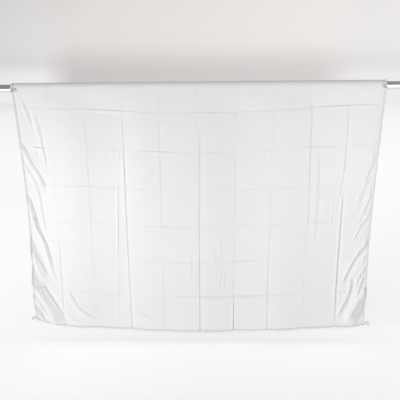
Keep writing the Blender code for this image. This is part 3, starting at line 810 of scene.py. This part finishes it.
floor_mesh = bpy.data.meshes.new("floor")
floor_corners = [(x * FLOOR_REACH, y * FLOOR_REACH, FLOOR_LEVEL)
                 for x, y in ((-1, -1), (1, -1), (1, 1), (-1, 1))]
floor_mesh.from_pydata(floor_corners, [], [(0, 1, 2, 3)])
floor = bpy.data.objects.new("floor", floor_mesh)
bpy.context.scene.collection.objects.link(floor)
floor_finish, floor_start, floor_shader = new_finish("painted_floor", Roughness=0.9, Emission_Strength=1.0)
place = floor_start.node("TexCoord", out=3)
place = place.node("VectorMath", {"operation": "SUBTRACT"}, {0: place, 1: (MIDDLE_X, 0, FLOOR_LEVEL)})
aside, ahead = (place.node("SeparateXYZ", sockets={0: place}, out=k) for k in (0, 1))
distance = place.node("VectorMath", {"operation": "LENGTH"}, {0: place}, out=1)
far = distance / (distance + FAR_HALF)
# The glow is painted light. It is less in front of the blanket, and less in a soft patch right under it, a
# painted shadow.
in_sight = spread_over(ahead, -1.2, 0.2, 0.55, 1.0)
shadow_across = spread_over(aside.math("ABSOLUTE", aside), 0.2, 0.9, 1.0, 0.0)
shadow_along = spread_over(aside.math("ABSOLUTE", ahead + 0.10), 0.0, 0.35, 1.0, 0.0)
rightward = aside / (distance + FAR_HALF) * FLOOR_SLOPE + 1
lit = in_sight * (1 - shadow_across * shadow_along * 0.10) * rightward
feed(floor_start, floor_shader, Base_Color=far.mix(NEAR_FLOOR_COLOUR, FAR_FLOOR_COLOUR),
     Emission_Color=dimmed(grey_ramp(far, FLOOR_GLOW, NEUTRAL_TINT), lit))
floor_mesh.materials.append(floor_finish)

world = bpy.data.worlds.new("room")
world.use_nodes = True
bpy.context.scene.world = world
direction = Thread(world.node_tree).node("TexCoord", out=0)
sideways, behind, height = (direction.node("SeparateXYZ", sockets={0: direction}, out=k) for k in range(3))
shaded = dimmed(grey_ramp(height, SHADED_ROOM, WARMER_TINT), sideways * SHADED_SLOPE + 1)
# Low down the open room is as bright on the left as on the right
evenness = spread_over(height, 0.060, 0.080, -ROOM_SLOPE, 0.018, "LINEAR")
open_room = dimmed(grey_ramp(height, OPEN_ROOM), sideways * evenness + 1)
beside = grey_ramp(sideways + 0.5, [(.158, 1), (.215, 0), (.720, 0), (.795, 1)])
upper_left = spread_over(height - sideways, 0.42, 0.62, 1.0, 0.87, "LINEAR")
back_room = dimmed(beside.mix(shaded, open_room), (sideways * ROOM_SLOPE + 1) * upper_left)
share = spread_over(behind, -0.2, 0.3, 0.0, 1.0)
room = world.node_tree.nodes["Background"]
world.node_tree.links.new(share.mix(grey_ramp(height, FRONT_ROOM), back_room).socket, room.inputs["Color"])
room.inputs["Strength"].default_value = 1.0


def aimed(name, lamp, place, towards):
    """A lamp that stands at place and shines towards a point."""
    stand = bpy.data.objects.new(name, lamp)
    stand.location = place
    stand.rotation_euler = (Vector(place) - Vector(towards)).to_track_quat("Z", "Y").to_euler()
    bpy.context.scene.collection.objects.link(stand)
    return stand


SUNS = [
    # name, degrees to the right of straight in front, degrees up, width of the light in degrees, strength
    ("key_left", -52, 10, 24, 1.41),
    ("fill_right", 38, 12, 40, 0.10),
]
SUN_DISTANCE, AIM = 5, np.array((MIDDLE_X, 0, -0.5))
for name, round_to, up, spread, strength in SUNS:
    lamp = bpy.data.lights.new(name, "SUN")
    lamp.angle, lamp.energy = radians(spread), strength
    level, round_to = np.cos(radians(up)), radians(round_to)
    offset = np.array((level * np.sin(round_to), -level * np.cos(round_to), np.sin(radians(up))))
    aimed(name, lamp, AIM + SUN_DISTANCE * offset, AIM)

SOFT_BOXES = [
    # name, place, the point it shines towards, size, power in watts
    ("soft_box_left", (0.02, -0.95, -0.50), (0.47, 0, -0.53), 0.6, 1.55),
    ("soft_box_right", (1.85, -1.15, -0.30), (1.50, 0, -0.34), 0.6, 1.44),
]
for name, place, towards, size, power in SOFT_BOXES:
    lamp = bpy.data.lights.new(name, "AREA")
    lamp.shape, lamp.size, lamp.energy, lamp.spread = "SQUARE", size, power, radians(120)
    aimed(name, lamp, place, towards).visible_camera = False

# A wide white card flat above the floor in front, which only mirrors in the chrome and in the soft
# gloss of the cloth
CARD_LENGTH, CARD_DEPTH, CARD_POWER, CARD_AHEAD = 4.0, 1.9, 23.0, -1.6
card = bpy.data.lights.new("mirrored_card", "AREA")
card.shape, card.size, card.size_y, card.energy = "RECTANGLE", CARD_LENGTH, CARD_DEPTH, CARD_POWER
card = aimed("mirrored_card", card, (MIDDLE_X, CARD_AHEAD, FLOOR_LEVEL + 0.02), (MIDDLE_X, CARD_AHEAD, 0))
card.visible_camera = card.visible_diffuse = False

bpy.context.scene.view_settings.view_transform = "Standard"
CAMERA_PLACE, TURNED_LEFT, LOOKS_DOWN, TILTED = (0.9573, -1.83, -0.0512), 1.54, 12.49, -0.48
lens = bpy.data.cameras.new("camera")
lens.sensor_width, lens.lens = 36, 40.5
camera = bpy.data.objects.new("camera", lens)
view = Matrix.Translation(CAMERA_PLACE)
for degrees, axis in ((TURNED_LEFT, "Z"), (90 - LOOKS_DOWN, "X"), (TILTED, "Z")):
    view = view @ Matrix.Rotation(radians(degrees), 4, axis)
camera.matrix_world = view
bpy.context.scene.collection.objects.link(camera)
bpy.context.scene.camera = camera
